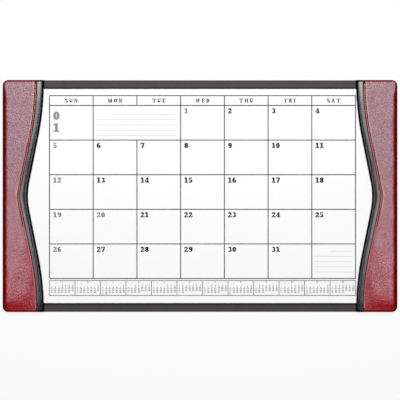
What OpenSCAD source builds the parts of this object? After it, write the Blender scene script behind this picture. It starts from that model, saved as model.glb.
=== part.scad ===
// Desk pad calendar: a covered board with a padded leather rail along each side,
// and a pad of twelve month sheets whose side edges lie under the rails.
// Sizes are in millimetres. X runs along the long side, Y to the far edge, Z up.
// The origin is in the middle of the underside.

/* [Base] */
// Overall width of the pad
pad_w = 864; // [700:1:1000]
// Overall depth of the pad
pad_d = 508; // [420:1:600]
// Corner radius of the pad, seen from above
pad_corner_r = 12; // [6:0.5:20]
// Thickness of the stiff base board
board_t = 3; // [2:0.1:6]
// Thickness of the leather and leatherette
leather_t = 0.9; // [0.6:0.05:1.4]
// Width of the leather turned in under the base board
turn_in_w = 16; // [10:0.5:30]
// How far the felt stands below the turned-in leather
felt_proud = 0.3; // [0.2:0.1:1]

/* [Calendar] */
// Strip of the base in front of the sheets, and behind them
strip_w = 19.5; // [10:0.5:40]
// How far the sheets reach under a rail where it is narrowest
sheet_tuck = 5; // [2:0.5:12]
// Thickness of one sheet
sheet_t = 0.11; // [0.08:0.01:0.3]
// Air between two sheets
sheet_air = 0.03; // [0.02:0.01:0.1]
// Thickness of the backing card
backer_t = 0.8; // [0.4:0.1:2]
// How far the backing card shows beyond the sheets, front and rear
backer_lip = 3.5; // [1.5:0.25:4]
// Thickness of the padding glue along the rear edge of the sheets
glue_t = 1; // [0.4:0.1:1.4]
// Free height between the top sheet and a rail
slot_clear = 0.7; // [0.4:0.1:2]
// Free width between the sheets and a spacer strip
side_clear = 3; // [1:0.5:6]

/* [Rails] */
// Width of a rail at its ends
rail_end_w = 90; // [75:0.5:120]
// Width of a rail at the middle of its length
rail_mid_w = 55; // [45:0.5:70]
// Radius of the rail's inner edge at the middle
rail_mid_r = 160; // [40:5:300]
// Radius with which the inner edge and the seam turn straight near the ends
rail_end_r = 600; // [200:10:800]
// Straight length of the inner edge and the seam at each end
rail_end_run = 4; // [2:1:30]
// Thickness of the lining under a rail
lining_t = 0.5; // [0.3:0.1:1]
// Thickness of the stiffener board in a rail
stiffener_t = 1.5; // [1:0.1:3]
// Foam thickness along the edges of a rail
foam_edge_t = 0.8; // [0.5:0.1:2]
// Further foam thickness at the crown of a rail
foam_crown = 2.4; // [1.4:0.1:6]
// Width over which the outer side of a rail rolls down
side_roll = 9; // [4:0.5:12]
// Length over which an end of a rail rolls down
end_roll = 36; // [15:1:60]
// Gap between a soft filling and its cover
soft_gap = 0.15; // [0.1:0.05:0.3]

/* [Trim and seam] */
// Width of the trim at the ends of a rail
trim_end_w = 15; // [12:0.5:20]
// Width of the trim at the middle of a rail
trim_mid_w = 18.5; // [12:0.5:24]
// Radius of the seam at the middle of a rail
seam_mid_r = 30; // [15:5:200]
// Foam crown that is left under the seam
seam_crown = 1.2; // [0.4:0.1:1.4]
// Width over which the crown falls to the seam
seam_fall = 7; // [4:0.5:10]
// Height of the trim's crest above the seam
trim_crown = 1; // [0.4:0.1:2]
// Distance of the trim's crest from the seam
trim_crest = 5; // [3:0.5:6]
// Drop from the edge of the foam to the inner edge of the trim
trim_drop = 2; // [1:0.1:2.6]
// Width of the folded leather along the trim's inner edge
trim_fold = 4; // [3:0.25:6]
// Distance from one stitch to the next
stitch_pitch = 5; // [3:0.25:10]
// Gap between two stitches
stitch_gap = 1.4; // [0.8:0.1:2]
// Thickness of the thread
thread_d = 1; // [0.6:0.1:1.6]
// Distance of the stitches from the seam
stitch_inset = 3.2; // [2:0.1:6]
// Length without stitches at each end of the seam
stitch_margin = 8; // [4:1:20]

/* [Hidden] */
$fn = 48;
month_count = 12;
sides = ["left", "right"];

// Rings along a rail and points across it
mid_rings = 8;
mid_ease = 1.3;
end_rings = 5;
end_step = 0.05;
roll_points = 4;
flat_points = 2;
fall_points = 3;
crest_points = 3;
nose_points = 5;

// Heights, from the felt up to the crown of the rails
felt_t = leather_t + felt_proud;
turn_in_z = felt_t - leather_t;
board_top = felt_t + board_t;
base_top = board_top + leather_t;
backer_top = base_top + backer_t;
sheet_pitch = sheet_t + sheet_air;
pad_top = backer_top + month_count * sheet_pitch;
rail_z = pad_top + slot_clear;
stack_t = lining_t + stiffener_t;
edge_h = stack_t + foam_edge_t + leather_t;
nose_h = edge_h - trim_drop;

// Plan sizes
half_d = pad_d / 2;
sheet_w = pad_w - 2 * (rail_mid_w - sheet_tuck);
sheet_d = pad_d - 2 * strip_w;
spacer_w = rail_mid_w - sheet_tuck - side_clear;
seam_end_w = rail_end_w - trim_end_w;
seam_mid_w = rail_mid_w - trim_mid_w;
felt_inset = turn_in_w + soft_gap;

BASE_NODES = ["felt_backing", "base_board", "base_cover"];
RAIL_NODES = ["edge_wrap", "spacer_strip", "rail_lining", "rail_stiffener", "rail_foam",
              "rail_cover", "trim_core", "rail_trim", "seam_stitches"];
PAD_NODES = ["calendar_backer", "binding_glue"];

// Name of a month's sheet, counted from the top
function sheet_name(i) = str("month_sheet_", i < 10 ? "0" : "", i);

// Quarter round that rises from 0 to 1 as x goes from 0 to 1
function round_over(x) = sqrt(1 - pow(1 - min(max(x, 0), 1), 2));

// Distance of a rounded corner from the side, at the distance d from the end
function corner_u(d) =
    d < pad_corner_r ? pad_corner_r - sqrt(pow(pad_corner_r, 2) - pow(pad_corner_r - d, 2)) : 0;

// Slope of the diagonal in a line that is end_w from the side at the ends and mid_w at the middle
function line_slope(end_w, mid_w, mid_r) =
    let (r = mid_r + rail_end_r,
         across = r - (end_w - mid_w),
         along = half_d - rail_end_run)
    atan2(along, across) - acos(r / norm([across, along]));

// Distance of that line from the side, at the place v along the rail
function line_u(v, end_w, mid_w, mid_r) =
    let (a = abs(v),
         slope = line_slope(end_w, mid_w, mid_r),
         mid_end = mid_r * sin(slope),
         bend_end = half_d - rail_end_run,
         bend_start = bend_end - rail_end_r * sin(slope))
    a < mid_end ? mid_w + mid_r - sqrt(mid_r * mid_r - a * a) :
    a < bend_start ? mid_w + mid_r * (1 - cos(slope)) + (a - mid_end) * tan(slope) :
    a < bend_end ? end_w - rail_end_r + sqrt(pow(rail_end_r, 2) - pow(bend_end - a, 2)) :
    end_w;

// Lines of a rail, as distances from the outer side of the pad
function outer_u(v) = corner_u(half_d - abs(v));
function seam_u(v) = line_u(v, seam_end_w, seam_mid_w, seam_mid_r);
function edge_u(v) = line_u(v, rail_end_w, rail_mid_w, rail_mid_r);

// Height of the rail's leather and of the trim above the underside of the rail
function end_share(v) = round_over((half_d - abs(v)) / end_roll);
function cover_h(u, v) =
    let (top = seam_crown + (foam_crown - seam_crown) * round_over((seam_u(v) - u) / seam_fall))
    edge_h + end_share(v) * top * round_over((u - outer_u(v)) / side_roll);
function trim_h(u, v) =
    let (x = u - seam_u(v),
         w = edge_u(v) - seam_u(v),
         start = edge_h + end_share(v) * seam_crown,
         crest = start + end_share(v) * trim_crown,
         fall = min(max((x - trim_crest) / (w - trim_crest), 0), 1))
    x < trim_crest ? start + (crest - start) * round_over(x / trim_crest) :
    nose_h + (crest - nose_h) * sqrt(1 - fall * fall);

// Places across the rail's leather, closer together at the roll and at the seam
function cover_us(lo, hi, roll) =
    concat([for (k = [0:roll_points]) lo + roll * (1 - cos(90 * k / roll_points))],
           [for (k = [1:flat_points])
               lo + roll + (hi - seam_fall - lo - roll) * k / (flat_points + 1)],
           [for (k = [0:fall_points]) hi - seam_fall * (1 - sin(90 * k / fall_points))]);

// Places across the trim, closer together at the seam and at the inner edge
function trim_us(lo, crest, hi) =
    concat([for (k = [0:crest_points]) lo + (crest - lo) * (1 - cos(90 * k / crest_points))],
           [for (k = [1:nose_points]) crest + (hi - crest) * sin(90 * k / nose_points)]);

// Places along the rail: rings near an end, then wider apart to the middle
roll_ds = [for (k = [1:end_rings])
    leather_t + end_step + (end_roll - leather_t - end_step) * (1 - cos(90 * k / end_rings))];
mid_vs = [for (k = [0:mid_rings - 1]) (half_d - end_roll) * pow(k / mid_rings, mid_ease)];
function both_ways(half) = concat([for (i = [len(half) - 1:-1:1]) -half[i]], half);
function rail_vs(ds) =
    both_ways(concat(mid_vs, [for (i = [len(ds) - 1:-1:0]) half_d - ds[i]]));
shell_vs = rail_vs(concat([0, leather_t, leather_t + end_step], roll_ds));
fill_vs = rail_vs(concat([leather_t + soft_gap], roll_ds));

// True where a shell is closed by its end wall
function in_end_wall(v) = half_d - abs(v) < leather_t + end_step / 2;

// A point of the left rail, from its distance to the side, its place along and its height
function rail_point(u, v, h) = [u - pad_w / 2, v, rail_z + h];

// Section of the rail's leather: over the crown, then back along its inside
function cover_ring(v) =
    let (lo = outer_u(v),
         hi = seam_u(v),
         closed = in_end_wall(v),
         under = cover_us(lo + leather_t, hi, side_roll - leather_t))
    concat([rail_point(lo, v, 0)],
           [for (u = cover_us(lo, hi, side_roll)) rail_point(u, v, cover_h(u, v))],
           [for (i = [len(under) - 1:-1:0])
               rail_point(under[i], v, closed ? 0 : cover_h(under[i], v) - leather_t)],
           [rail_point(lo + leather_t * (closed ? 0.5 : 1), v, 0)]);

// Section of the foam under that leather
function foam_ring(v) =
    let (lo = outer_u(v) + leather_t + soft_gap,
         hi = seam_u(v) - soft_gap)
    concat([rail_point(lo, v, stack_t)],
           [for (u = cover_us(lo, hi, side_roll - leather_t))
               rail_point(u, v, cover_h(u, v) - leather_t - soft_gap)],
           [rail_point(hi, v, stack_t)]);

// Section of the trim: over its crest to the fold, then back along its inside
function trim_ring(v) =
    let (lo = seam_u(v) + soft_gap,
         crest = seam_u(v) + trim_crest,
         hi = edge_u(v),
         closed = in_end_wall(v),
         under = trim_us(lo, crest, hi - trim_fold))
    concat([for (u = trim_us(lo, crest, hi)) rail_point(u, v, trim_h(u, v))],
           [rail_point(hi, v, 0)],
           [rail_point(hi - trim_fold * (closed ? 0.5 : 1), v, 0)],
           [for (i = [len(under) - 1:-1:0])
               rail_point(under[i], v, closed ? 0 : trim_h(under[i], v) - leather_t)]);

// Section of the filler cord inside the trim
function core_ring(v) =
    let (lo = seam_u(v) + 2 * soft_gap,
         hi = edge_u(v) - trim_fold - soft_gap)
    concat([rail_point(lo, v, stack_t)],
           [for (u = trim_us(lo, seam_u(v) + trim_crest, hi))
               rail_point(u, v, trim_h(u, v) - leather_t - soft_gap)],
           [rail_point(hi, v, stack_t)]);

// True where three points lie on one line
function in_line(p, q, r) = norm(cross(q - p, r - p)) < 1e-6;

// Triangles across the section of a filling, fanned out from its first corner
function fill_faces(ring) = [for (j = [1:len(ring) - 2]) [0, j, j + 1]];

// Triangles across the section of a shell, between its outside and its inside
function shell_faces(ring) =
    let (n = len(ring))
    [for (a = [0:n / 2 - 2])
        let (b = a + 1, c = n - 2 - a, d = n - 1 - a)
        each in_line(ring[a], ring[b], ring[c]) || in_line(ring[a], ring[c], ring[d])
            ? [[a, b, d], [b, c, d]] : [[a, b, c], [a, c, d]]];

// Solid through a row of sections that all have the same number of points
module loft(rings, near_cap, far_cap) {
    n = len(rings[0]);
    last = len(rings) - 1;
    skin = [for (i = [0:last - 1]) for (j = [0:n - 1])
        let (a = i * n + j, b = i * n + (j + 1) % n)
        each [[a, a + n, b + n], [a, b + n, b]]];
    far = [for (f = far_cap) [f[2], f[1], f[0]] + last * n * [1, 1, 1]];
    polyhedron([for (ring = rings) each ring], concat(near_cap, skin, far));
}

// Loft of a solid filling, and loft of a shell that is closed at its ends
module fill_loft(rings) {
    loft(rings, fill_faces(rings[0]), fill_faces(rings[len(rings) - 1]));
}
module shell_loft(rings) {
    loft(rings, shell_faces(rings[0]), shell_faces(rings[len(rings) - 1]));
}

// Outline of the pad seen from above, drawn in by the inset
module pad_outline(inset) {
    w = pad_w - 2 * inset;
    d = pad_d - 2 * inset;
    r = pad_corner_r - inset;
    square([w - 2 * r, d], center = true);
    square([w, d - 2 * r], center = true);
    for (x = [-1, 1], y = [-1, 1])
        translate([x * (w / 2 - r), y * (d / 2 - r)]) circle(r);
}

// Strip along the left side, as wide as the spacer
module side_strip() {
    translate([-pad_w / 2, -half_d]) square([spacer_w, pad_d]);
}

// Outline of the flat layers inside a rail
module rail_plan() {
    inset = leather_t + soft_gap;
    outer = [for (v = fill_vs) [outer_u(v) + inset - pad_w / 2, v]];
    inner = [for (v = fill_vs) [edge_u(v) - trim_fold - soft_gap - pad_w / 2, v]];
    polygon(concat(outer, [for (i = [len(inner) - 1:-1:0]) inner[i]]));
}

// Turns what is drawn for the left side into the named side
module on_side(side) {
    if (side == "right") mirror([1, 0, 0]) children();
    else children();
}

// Felt that the pad rests on
module felt_backing() {
    color("#2b2b2d")
        translate([felt_inset - pad_w / 2, felt_inset - half_d, 0])
            cube([pad_w - 2 * felt_inset, pad_d - 2 * felt_inset, felt_t]);
}

// Stiff board that carries everything
module base_board() {
    color("#8a7455")
        translate([0, 0, felt_t])
            linear_extrude(board_t) pad_outline(leather_t);
}

// Black leatherette over the board, wrapped round its front and rear edges
module base_cover() {
    span = pad_w - 2 * spacer_w;
    color("#3a3638") {
        translate([0, 0, board_top])
            linear_extrude(leather_t) {
                pad_outline(leather_t);
                square([span, pad_d], center = true);
            }
        for (end = [-1, 1]) {
            translate([-span / 2, end > 0 ? half_d - leather_t : -half_d, turn_in_z])
                cube([span, leather_t, base_top - turn_in_z]);
            translate([-span / 2, end > 0 ? half_d - turn_in_w : -half_d, turn_in_z])
                cube([span, turn_in_w, leather_t]);
        }
    }
}

// Burgundy leather round the side edge of the base, turned in underneath
module edge_wrap() {
    color("#6e0a12") {
        translate([0, 0, turn_in_z])
            linear_extrude(rail_z - turn_in_z)
                intersection() {
                    difference() {
                        pad_outline(0);
                        pad_outline(leather_t);
                    }
                    side_strip();
                }
        translate([0, 0, turn_in_z])
            linear_extrude(leather_t)
                intersection() {
                    difference() {
                        pad_outline(0);
                        square([pad_w - 2 * turn_in_w, pad_d - 2 * turn_in_w], center = true);
                    }
                    side_strip();
                }
    }
}

// Strip that holds the rail up, so that the calendar slides in beneath it
module spacer_strip() {
    color("#8a7455")
        translate([0, 0, base_top])
            linear_extrude(rail_z - base_top)
                intersection() {
                    pad_outline(leather_t);
                    side_strip();
                }
}

// Smooth lining under the rail
module rail_lining() {
    color("#242224")
        translate([0, 0, rail_z])
            linear_extrude(lining_t) rail_plan();
}

// Thin board that keeps the rail flat
module rail_stiffener() {
    color("#8a7455")
        translate([0, 0, rail_z + lining_t])
            linear_extrude(stiffener_t) rail_plan();
}

// Foam that crowns the rail
module rail_foam() {
    color("#d9cf9e") fill_loft([for (v = fill_vs) foam_ring(v)]);
}

// Burgundy leather over the rail, closed at both ends
module rail_cover() {
    color("#7e0a10") shell_loft([for (v = shell_vs) cover_ring(v)]);
}

// Filler cord inside the trim
module trim_core() {
    color("#d9cf9e") fill_loft([for (v = fill_vs) core_ring(v)]);
}

// Black leather trim along the inner edge of the rail
module rail_trim() {
    color("#2a2729") shell_loft([for (v = shell_vs) trim_ring(v)]);
}

// Row of stitches that joins the rail's leather to the trim
module seam_stitches() {
    reach = half_d - stitch_margin;
    count = floor(2 * reach / stitch_pitch);
    first = -(count - 1) / 2 * stitch_pitch;
    color("#8c1720")
        for (k = [0:count - 1])
            stitch(first + k * stitch_pitch);
}

// One stitch, lying along the seam on the leather
module stitch(v) {
    half = (stitch_pitch - stitch_gap) / 2;
    ends = [for (w = [v - half, v + half]) stitch_point(w)];
    way = ends[1] - ends[0];
    translate((ends[0] + ends[1]) / 2)
        rotate([0, acos(way[2] / norm(way)), atan2(way[1], way[0])])
            cylinder(h = norm(way), d = thread_d, center = true);
}

// Middle of the thread at the place v along the seam
function stitch_point(v) =
    let (u = seam_u(v) - stitch_inset)
    rail_point(u, v, cover_h(u, v) + thread_d / 2 + soft_gap);

// Stiff card under the month sheets
module calendar_backer() {
    color("#1d1c1e")
        translate([-sheet_w / 2, -sheet_d / 2 - backer_lip, base_top])
            cube([sheet_w, sheet_d + 2 * backer_lip, backer_t]);
}

// Dried glue along the rear edge of the sheets, standing on the card
module binding_glue() {
    color("#26262a")
        translate([-sheet_w / 2, sheet_d / 2, backer_top])
            cube([sheet_w, glue_t, month_count * sheet_pitch]);
}

// Sheet of one month, counted from the top of the pad
module month_sheet(i) {
    color("white")
        translate([-sheet_w / 2, -sheet_d / 2, pad_top - sheet_t - (i - 1) * sheet_pitch])
            cube([sheet_w, sheet_d, sheet_t]);
}

felt_backing();
base_board();
base_cover();
for (side = sides)
    on_side(side) {
        edge_wrap();
        spacer_strip();
        rail_lining();
        rail_stiffener();
        rail_foam();
        rail_cover();
        trim_core();
        rail_trim();
        seam_stitches();
    }
calendar_backer();
binding_glue();
for (i = [1:month_count])
    month_sheet(i);
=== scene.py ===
# %% [markdown]
# # A desk pad calendar
# The object is a stiff board in black leatherette, with a padded rail of burgundy leather along each
# side and a pad of twelve month sheets that slides in under the rails. The flat layers come from the
# frame as they are and only get a finish. The leather, the trim, the stitches and the print carry the
# looks, so they are made here, in the same place and at the same size.

# %% Load the frame
import math

import bpy
import numpy as np
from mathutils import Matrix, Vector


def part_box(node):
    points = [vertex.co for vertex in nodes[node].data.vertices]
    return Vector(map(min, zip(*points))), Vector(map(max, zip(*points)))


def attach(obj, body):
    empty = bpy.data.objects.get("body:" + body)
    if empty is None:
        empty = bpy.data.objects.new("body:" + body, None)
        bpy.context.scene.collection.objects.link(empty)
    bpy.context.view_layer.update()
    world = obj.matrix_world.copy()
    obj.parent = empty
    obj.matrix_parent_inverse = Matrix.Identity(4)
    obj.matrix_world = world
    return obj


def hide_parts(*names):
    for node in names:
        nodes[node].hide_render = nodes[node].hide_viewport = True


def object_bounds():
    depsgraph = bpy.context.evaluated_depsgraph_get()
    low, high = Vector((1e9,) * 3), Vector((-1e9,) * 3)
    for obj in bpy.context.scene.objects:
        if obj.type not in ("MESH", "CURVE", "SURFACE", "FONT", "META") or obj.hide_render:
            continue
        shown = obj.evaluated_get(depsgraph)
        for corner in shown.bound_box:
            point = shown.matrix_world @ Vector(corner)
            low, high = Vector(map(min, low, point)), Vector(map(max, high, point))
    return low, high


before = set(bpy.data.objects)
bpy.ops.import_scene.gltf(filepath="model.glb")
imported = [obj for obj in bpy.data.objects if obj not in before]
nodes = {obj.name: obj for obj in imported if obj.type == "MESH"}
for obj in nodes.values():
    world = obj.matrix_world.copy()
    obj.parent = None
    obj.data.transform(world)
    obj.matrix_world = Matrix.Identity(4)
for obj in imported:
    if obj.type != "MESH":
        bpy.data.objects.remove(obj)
cad_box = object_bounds()
print("frame:", len(nodes), "nodes,", [round(side, 4) for side in cad_box[1] - cad_box[0]], "m")

# %% [markdown]
# ## Sizes
# Blender works in metres, and a maker thinks in millimetres, so one factor turns the one into the
# other. Sizes that the pieces share are read from the frame. Reading them keeps the leather on the
# rails if the frame is packed again with other sizes.

# %% Sizes from the frame
MM = 0.001
SIDES = ("left", "right")
MONTHS = range(1, 13)
NEAR = 0.5 * MM
PAD_W = cad_box[1].x - cad_box[0].x
HALF_D = cad_box[1].y
RAIL_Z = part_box("left_rail_lining")[0].z
STACK_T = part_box("left_rail_stiffener")[1].z - RAIL_Z


def reach_at(node, place):
    """Least and greatest distance of a left rail's node from the outer side, at a place along it."""
    points = np.array([vertex.co for vertex in nodes[node].data.vertices])
    near = points[np.abs(points[:, 1] - place) < NEAR, 0] + PAD_W / 2
    return near.min(), near.max()


SEAM_MID, EDGE_MID = reach_at("left_rail_trim", 0)
SEAM_END, EDGE_END = reach_at("left_rail_trim", HALF_D)
print("rail, from seam to edge in mm: middle", round(SEAM_MID / MM, 1), round(EDGE_MID / MM, 1),
      "end", round(SEAM_END / MM, 1), round(EDGE_END / MM, 1))

# %% [markdown]
# ## Camera
# The photograph looks straight down. A camera with a long lens, high above the pad, gives nearly
# parallel lines of sight. The pad's width in pixels fixes how much the frame has to take in, and the
# row of its middle fixes where the camera stands, so no lens shift is needed.

# %% Camera
PHOTO_PX = 400
PAD_SPAN_PX = 394.3
PAD_MIDDLE_ROW_PX = 196.05
CAMERA_H = 2.4


def put(name, data):
    """Puts a camera, a light or a mesh into the scene as an object."""
    made = bpy.data.objects.new(name, data)
    bpy.context.scene.collection.objects.link(made)
    return made


pixel = PAD_W / PAD_SPAN_PX
camera = put("camera", bpy.data.cameras.new("camera"))
bpy.context.scene.camera = camera
camera.location = (0, (PAD_MIDDLE_ROW_PX - PHOTO_PX / 2) * pixel, CAMERA_H)
camera.data.lens = camera.data.sensor_width * (CAMERA_H - RAIL_Z) / (PHOTO_PX * pixel)
bpy.context.scene.view_settings.view_transform = "Standard"
print("camera: one pixel is", round(pixel / MM, 3), "mm, lens", round(camera.data.lens, 1), "mm")

# %% [markdown]
# ## Colours and nodes
# Colours are written as hex values, the way a paint chart gives them, and shaders need linear light.
# One function turns the first into the second. A second one adds a shader node, sets it and links it,
# so that each material reads as a short list of what it is made of. Two nodes come up often and have
# a function of their own.


# %% Colour and node helpers
def linear(colour):
    """An sRGB hex colour as linear red, green, blue and alpha."""
    shares = [int(colour[k:k + 2], 16) / 255 for k in (1, 3, 5)]
    return [s / 12.92 if s <= 0.04045 else ((s + 0.055) / 1.055) ** 2.4 for s in shares] + [1.0]


def add(tree, kind, inputs=None, **settings):
    """Adds a shader node. The inputs are values, or outputs of other nodes, which it links."""
    made = tree.nodes.new("ShaderNode" + kind)
    for name, value in settings.items():
        setattr(made, name, value)
    for socket, value in (inputs or {}).items():
        if isinstance(value, bpy.types.NodeSocket):
            tree.links.new(value, made.inputs[socket])
        else:
            made.inputs[socket].default_value = value
    return made


def remap(tree, value, source, target=(0.0, 1.0), **settings):
    """A value whose range, given by its two ends, is stretched onto another range."""
    ends = {"From Min": source[0], "From Max": source[1], "To Min": target[0], "To Max": target[1]}
    return add(tree, "MapRange", {"Value": value, **ends}, **settings).outputs["Result"]


def larger(tree, first, second):
    return add(tree, "Math", {0: first, 1: second}, operation="MAXIMUM").outputs[0]


print("a middle grey in linear light:", round(linear("#808080")[0], 3))

# %% [markdown]
# ## Light
# Flat work is lit from two sides, so a softbox hangs over each rail, a little behind it. Its mirror
# image lies on the leather as a pale sheen, and it ends where the rails roll down at the front and at
# the sides. The bulb behind the cloth makes a brighter, warmer patch, which the rear of the rails
# mirrors. The walls of the studio are grey near the horizon and the ceiling is dark, which keeps the
# rolled edges dark. The camera itself sees white there, as on a paper backdrop. A sun lamp would give
# a hard shadow and no sheen, so it isn't used.

# %% Softboxes and studio walls
SOFTBOX_SIZE, BULB_SIZE = (0.7, 2.4), (0.6, 0.7)
SOFTBOX_X, SOFTBOX_Y, SOFTBOX_H = 0.85, 0.70, 2.6
BULB_Y, BULB_H = 1.05, 2.59
SOFTBOX_RADIANCE, BULB_RADIANCE = 8.6, 3.8
WALL_LIGHT, CEILING_LIGHT = 0.14, 0.05
WALL_TOP, CEILING_START = math.radians(20), math.radians(36)


def hang_light(name, place, size, radiance, colour):
    """Hangs a rectangle of light that looks straight down, and returns its power."""
    light = bpy.data.lights.new(name, "AREA")
    light.shape = "RECTANGLE"
    light.size, light.size_y = size
    light.energy = radiance * math.pi * size[0] * size[1]
    light.color = linear(colour)[:3]
    put(name, light).location = place
    return light.energy


for side, x in zip(SIDES, (-SOFTBOX_X, SOFTBOX_X)):
    cloth = hang_light(f"{side}_softbox", (x, SOFTBOX_Y, SOFTBOX_H), SOFTBOX_SIZE,
                       SOFTBOX_RADIANCE, "#fbfcff")
    bulb = hang_light(f"{side}_bulb", (x, BULB_Y, BULB_H), BULB_SIZE, BULB_RADIANCE, "#fff4dc")

world = bpy.data.worlds.new("studio_walls")
bpy.context.scene.world = world
world.use_nodes = True
tree = world.node_tree
direction = add(tree, "TexCoord").outputs["Generated"]
steepness = add(tree, "SeparateXYZ", {"Vector": direction}).outputs["Z"]
walls = remap(tree, steepness, (math.sin(WALL_TOP), math.sin(CEILING_START)), (WALL_LIGHT, CEILING_LIGHT))
watched = add(tree, "LightPath").outputs["Is Camera Ray"]
tree.links.new(larger(tree, watched, walls), tree.nodes["Background"].inputs["Strength"])
tree.nodes["Background"].inputs["Color"].default_value = linear("#ffffff")
print("light on each side:", round(cloth), "W through the cloth,", round(bulb), "W from the bulb")

# %% [markdown]
# ## Floor
# The background of the photograph is white paper. A white floor under this light would come out a
# pale grey, so part of what the camera sees of it is plain white, and the rest still takes the
# shadow of the pad. Further out the floor turns all white, so that it meets the walls unseen.

# %% Floor
FLOOR_HALF = 30
FLOOR_GAP = 0.1 * MM
FLOOR_WHITE_NEAR = 0.75
SHADOW_REACH, WHITE_REACH = 0.7, 2.5

floor_mesh = bpy.data.meshes.new("floor")
floor_corners = [(x * FLOOR_HALF, y * FLOOR_HALF, -FLOOR_GAP)
                 for x, y in ((-1, -1), (1, -1), (1, 1), (-1, 1))]
floor_mesh.from_pydata(floor_corners, [], [(0, 1, 2, 3)])
floor = put("floor", floor_mesh)

paper_floor = bpy.data.materials.new("white_background_paper")
paper_floor.use_nodes = True
tree = paper_floor.node_tree
tree.nodes.clear()
rays = add(tree, "LightPath").outputs
mirrored = larger(tree, rays["Is Glossy Ray"], rays["Is Transmission Ray"])
watched = larger(tree, rays["Is Camera Ray"], mirrored)
place = add(tree, "TexCoord").outputs["Object"]
distance = add(tree, "VectorMath", {0: place}, operation="LENGTH").outputs["Value"]
share = remap(tree, distance, (SHADOW_REACH, WHITE_REACH), (FLOOR_WHITE_NEAR, 1.0))
white = add(tree, "Math", {0: watched, 1: share}, operation="MULTIPLY").outputs[0]
matt = add(tree, "BsdfDiffuse", {"Color": linear("#f4f4f4")}).outputs[0]
glow = add(tree, "Emission", {"Color": linear("#ffffff"), "Strength": 1.0}).outputs[0]
mixed = add(tree, "MixShader", {0: white, 1: matt, 2: glow}).outputs[0]
add(tree, "OutputMaterial", {"Surface": mixed})
floor_mesh.materials.append(paper_floor)
print("floor:", 2 * FLOOR_HALF, "m square, white beyond", WHITE_REACH, "m")

# %% [markdown]
# ## Materials
# Each material below is one Principled shader. Textures use object coordinates, which are metres
# here, so the scale of a pattern is one over its real size. Only colour, roughness and the normal are
# linked; what is the same all over stays a plain value on the shader. Small functions give the clouds,
# the grooves and the mixes of colour that several materials share.


# %% Start of a material
def start_material(name, roughness, ior=1.5):
    """A new Principled material: itself, its tree, its shader and its object coordinates."""
    material = bpy.data.materials.new(name)
    material.use_nodes = True
    shader = material.node_tree.nodes["Principled BSDF"]
    shader.inputs["Roughness"].default_value = roughness
    shader.inputs["IOR"].default_value = ior
    place = add(material.node_tree, "TexCoord").outputs["Object"]
    return material, material.node_tree, shader, place


def clouds(tree, place, size, detail=2.0):
    """A soft, uneven pattern with patches of a real size."""
    return add(tree, "TexNoise", {"Vector": place, "Scale": 1 / size, "Detail": detail}).outputs["Fac"]


def grooves(tree, place, size):
    """The distance from the grooves between pebbles of a real size."""
    return add(tree, "TexVoronoi", {"Vector": place, "Scale": 1 / size},
               feature="DISTANCE_TO_EDGE").outputs["Distance"]


def between(tree, share, first, second):
    """A colour that goes from a first one to a second. Each is a hex colour, a list or a socket."""
    first, second = [linear(colour) if isinstance(colour, str) else colour for colour in (first, second)]
    return add(tree, "MixRGB", {"Fac": share, "Color1": first, "Color2": second}).outputs["Color"]


def pile(tree, upper, weight, lower):
    """A height with a share of another one on top."""
    return add(tree, "Math", {0: upper, 1: weight, 2: lower}, operation="MULTIPLY_ADD").outputs[0]


def dress(tree, shader, colour, height, depth):
    """Links a colour, and a height that the shader feels as bumps of a depth in metres."""
    tree.links.new(colour, shader.inputs["Base Color"])
    bump = add(tree, "Bump", {"Height": height, "Distance": depth})
    tree.links.new(bump.outputs["Normal"], shader.inputs["Normal"])


print("bumps are given in metres, such as", 0.1 * MM)

# %% [markdown]
# Burgundy leather is full-grain cowhide, dyed through and sealed with a thin finish. The finish gives
# the eye a soft sheen, and the pebbled grain breaks that sheen up. Dye sits unevenly: it is deeper in
# the grooves between pebbles, and the colour is darker towards the rear. A paler colour along the ridge
# beside the stitching is a painted highlight, and a darker colour in the dip of the stitches is painted
# shade; the mesh says where, in two attributes. Real pebbles are about 1 mm wide and are drawn three
# times as wide, to show. Where the leather rolls down, on the lip and in the dip, shade is painted with
# matt, darker copies of it: dark red at the ends and on the lip, and nearly black along the outer side
# and in the dip.

# %% Burgundy leather
PEBBLE, GROOVE_SHARE = 3.0 * MM, 0.35
PORE, PORE_WEIGHT = 0.8 * MM, 0.7
COCKLE, COCKLE_WEIGHT = 5 * MM, 3.0
DYE_DRIFT = 24 * MM
DARKER_FROM = 0.4 * HALF_D
GROOVE_DYE, POLISH = (0.45, 1.0), (0.18, 0.32)

burgundy_leather, tree, shader, place = start_material("burgundy_leather", 0.30, 1.57)
drift = clouds(tree, place, DYE_DRIFT, 4.0)
along = add(tree, "SeparateXYZ", {"Vector": place}).outputs["Y"]
# The dye turns darker towards the rear, from the front colour to the rear colour.
rear_share = remap(tree, along, (-HALF_D, DARKER_FROM))
front_dye = between(tree, drift, "#a40e17", "#c01925")
rear_dye = between(tree, drift, "#70060c", "#840c14")
dye = between(tree, rear_share, front_dye, rear_dye)
pebble = remap(tree, grooves(tree, place, PEBBLE), (0, GROOVE_SHARE), interpolation_type="SMOOTHSTEP")
dyed = between(tree, remap(tree, pebble, (0, 1), GROOVE_DYE), "#4a0308", dye)
# Painted highlight: the ridge beside the stitches turns to a paler colour.
ridge_highlight = add(tree, "Attribute", attribute_name="ridge_highlight").outputs["Fac"]
highlit = between(tree, ridge_highlight, dyed, "#e6c8c0")
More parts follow.
